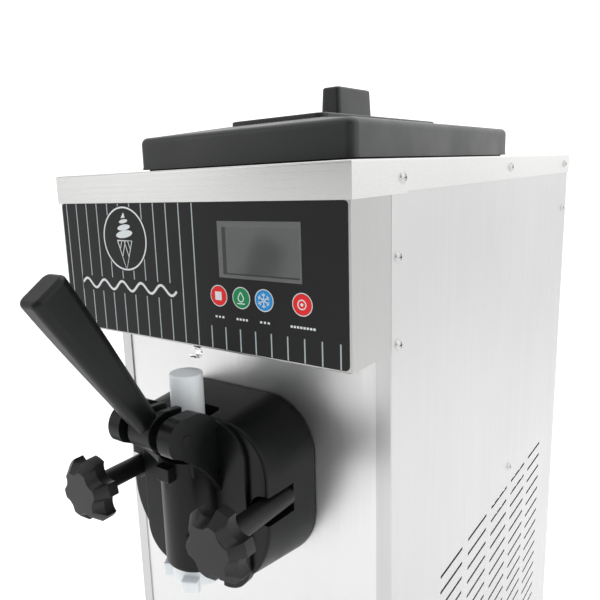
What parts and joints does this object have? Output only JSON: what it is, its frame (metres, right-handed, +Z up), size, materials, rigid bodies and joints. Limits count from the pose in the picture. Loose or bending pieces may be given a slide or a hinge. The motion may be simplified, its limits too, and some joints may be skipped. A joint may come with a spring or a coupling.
{
  "type": "ice cream maker",
  "caption": "Countertop soft-serve ice cream maker with a stainless cabinet, mix hopper, freezing cylinder, valve door and draw lever.",
  "frame": {"origin": "centre of the bounding box in plan, at the level of the surface that the feet stand on", "axes": "+Z up, +X to the right seen from the front, -Y towards the user, where the draw lever is"},
  "size_m": [0.2846, 0.6844, 0.7719],
  "materials": {
    "stainless_cover": "long grain brushed",
    "stainless_head": "brushed",
    "stainless_side": "brushed",
    "stainless_front": "bright brushed",
    "plated_steel": "zinc plated",
    "rubber_black": "matt",
    "screw_steel": "bright",
    "tank_steel": "satin",
    "gland_plastic": "matt",
    "spring_steel": "bright",
    "lid_black": "satin, fine texture",
    "door_black": "satin",
    "lever_black": "satin",
    "knob_black": "satin",
    "white_plastic": "milky",
    "overlay_black": "satin print",
    "display_glass": "tinted",
    "key_red": "satin",
    "key_green": "satin",
    "key_blue": "satin",
    "board_green": "satin",
    "foam": "open foam",
    "copper": "drawn tube",
    "black_paint": "semi gloss",
    "cast_grey": "cast",
    "fin_aluminium": "mill",
    "fan_plastic": "moulded",
    "tray_black": "satin",
    "grille_steel": "satin"
  },
  "bodies": {
    "cabinet": {"air_feed_tube": "white_plastic", "base_pan": "plated_steel", "beater_motor": "black_paint", "cabinet_screws": "screw_steel", "cable_gland": "gland_plastic", "chassis_frame": "plated_steel", "compressor": "black_paint", "compressor_mounts": "rubber_black", "condenser": "fin_aluminium", "control_board": "board_green", "control_overlay": "overlay_black", "display_window": "display_glass", "door_studs": "tank_steel", "evaporator_coil": "copper", "fan_motor": "black_paint", "fan_shroud": "plated_steel", "feed_pipe": "tank_steel", "feet": "rubber_black", "filter_drier": "copper", "freezing_cylinder": "tank_steel", "front_panel": "stainless_front", "gearbox": "cast_grey", "head_shell": "stainless_head", "hopper_tank": "tank_steel", "insulation": "foam", "lid_seal": "rubber_black", "rear_panel": "stainless_side", "refrigerant_lines": "copper", "shaft_seal": "rubber_black", "side_panel_left": "stainless_side", "side_panel_right": "stainless_side", "switch_body": "gland_plastic", "top_cover": "stainless_cover", "tray_bracket": "plated_steel", "v_belt": "rubber_black"},
    "door": {"freezing_door": "door_black", "door_seal": "rubber_black", "front_bush": "white_plastic", "nozzle_cap": "white_plastic", "lever_pin": "door_black", "pin_spacers": "door_black"},
    "lever": {"draw_lever": "lever_black"},
    "plunger": {"valve_plunger": "white_plastic", "plunger_seals": "rubber_black"},
    "knob_left": {"star_knob_left": "knob_black"},
    "knob_right": {"star_knob_right": "knob_black"},
    "leaf": {"switch_leaf": "spring_steel"},
    "lid": {"hopper_lid": "lid_black"},
    "beater_unit": {"beater": "tank_steel", "scraper_blades": "white_plastic"},
    "drive_pulley": {"gearbox_pulley": "cast_grey"},
    "small_pulley": {"motor_pulley": "black_paint"},
    "fan": {"fan_blade": "fan_plastic"},
    "tray": {"drip_tray": "tray_black"},
    "grille": {"drip_grille": "grille_steel"},
    "key_stop": {"key_stop": "key_red"},
    "key_clean": {"key_clean": "key_green"},
    "key_cold": {"key_cold": "key_blue"},
    "key_set": {"key_set": "key_red"}
  },
  "joints": [
    {"name": "door_pull", "type": "slide", "parent": "cabinet", "child": "door", "axis": [0, -1, 0], "range_m": [0, 0.11]},
    {"name": "lever_pull", "type": "hinge", "parent": "door", "child": "lever", "pos_m": [0, -0.25377, 0.5168], "axis": [1, 0, 0], "range_deg": [0, 26]},
    {"name": "plunger_lift", "type": "slide", "parent": "door", "child": "plunger", "axis": [0, 0, 1], "range_m": [0, 0.01628]},
    {"name": "leaf_lift", "type": "hinge", "parent": "cabinet", "child": "leaf", "pos_m": [0, -0.18177, 0.5762], "axis": [1, 0, 0], "range_deg": [-26, 0]},
    {"name": "knob_left_turn", "type": "hinge", "parent": "door", "child": "knob_left", "pos_m": [-0.066, -0.27727, 0.458], "axis": [0, 1, 0], "continuous": true},
    {"name": "knob_right_turn", "type": "hinge", "parent": "door", "child": "knob_right", "pos_m": [0.066, -0.27727, 0.458], "axis": [0, 1, 0], "continuous": true},
    {"name": "lid_lift", "type": "slide", "parent": "cabinet", "child": "lid", "axis": [0, 0, 1], "range_m": [0, 0.15]},
    {"name": "drive_pulley_spin", "type": "hinge", "parent": "cabinet", "child": "drive_pulley", "pos_m": [0, 0.16923, 0.458], "axis": [0, 1, 0], "continuous": true},
    {"name": "beater_spin", "type": "hinge", "parent": "cabinet", "child": "beater_unit", "pos_m": [0, -0.15877, 0.458], "axis": [0, 1, 0], "continuous": true},
    {"name": "small_pulley_spin", "type": "hinge", "parent": "cabinet", "child": "small_pulley", "pos_m": [0, 0.16923, 0.3], "axis": [0, 1, 0], "continuous": true},
    {"name": "fan_spin", "type": "hinge", "parent": "cabinet", "child": "fan", "pos_m": [0.0793, 0.22573, 0.16], "axis": [1, 0, 0], "continuous": true},
    {"name": "tray_slide", "type": "slide", "parent": "cabinet", "child": "tray", "axis": [0, -1, 0], "range_m": [0, 0.1]},
    {"name": "grille_lift", "type": "slide", "parent": "tray", "child": "grille", "axis": [0, 0, 1], "range_m": [0, 0.05]},
    {"name": "key_stop_press", "type": "slide", "parent": "cabinet", "child": "key_stop", "axis": [0, 1, 0], "range_m": [0, 0.0005], "stiffness_N_per_m": 2000},
    {"name": "key_clean_press", "type": "slide", "parent": "cabinet", "child": "key_clean", "axis": [0, 1, 0], "range_m": [0, 0.0005], "stiffness_N_per_m": 2000},
    {"name": "key_cold_press", "type": "slide", "parent": "cabinet", "child": "key_cold", "axis": [0, 1, 0], "range_m": [0, 0.0005], "stiffness_N_per_m": 2000},
    {"name": "key_set_press", "type": "slide", "parent": "cabinet", "child": "key_set", "axis": [0, 1, 0], "range_m": [0, 0.0005], "stiffness_N_per_m": 2000}
  ],
  "couplings": [
    {"joint": "plunger_lift", "follows": "lever_pull", "m_per_rad": 0.035426},
    {"joint": "leaf_lift", "follows": "lever_pull", "ratio": -0.96154},
    {"joint": "beater_spin", "follows": "drive_pulley_spin", "ratio": 0.2},
    {"joint": "small_pulley_spin", "follows": "drive_pulley_spin", "ratio": 2.2222}
  ]
}
